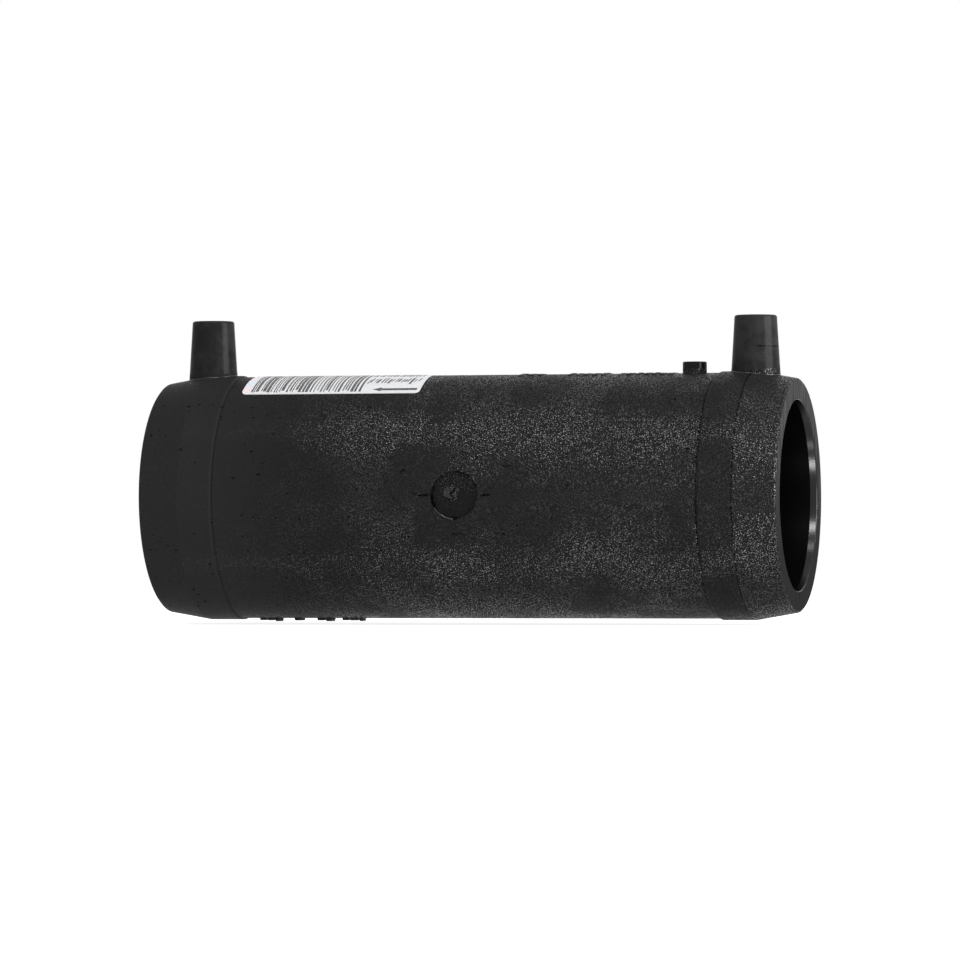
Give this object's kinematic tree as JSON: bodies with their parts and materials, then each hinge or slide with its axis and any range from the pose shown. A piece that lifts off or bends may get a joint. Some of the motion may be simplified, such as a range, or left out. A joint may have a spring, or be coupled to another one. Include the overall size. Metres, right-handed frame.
{
  "type": "electrofusion coupler",
  "caption": "Long black polyethylene pipe coupler with a plain through bore, a built-in heating wire, two shrouded terminals and a fusion indicator.",
  "frame": {"origin": "on the bore axis, half way between the two end faces", "axes": "+X along the bore towards the end with the fusion indicator; +Z from the bore axis towards the terminal shrouds"},
  "size_m": [0.217, 0.0826, 0.1012],
  "materials": {
    "body_pe": "matte, fine grained",
    "coil": "coated wire turns",
    "pin_left": "turned",
    "pin_right": "turned",
    "indicator": "smooth",
    "label_film": "satin film"
  },
  "bodies": {
    "root": {"body": "body_pe", "heating_coil": "coil", "terminal_pin_left": "pin_left", "terminal_pin_right": "pin_right", "fusion_indicator": "indicator", "label": "label_film"}
  },
  "joints": []
}
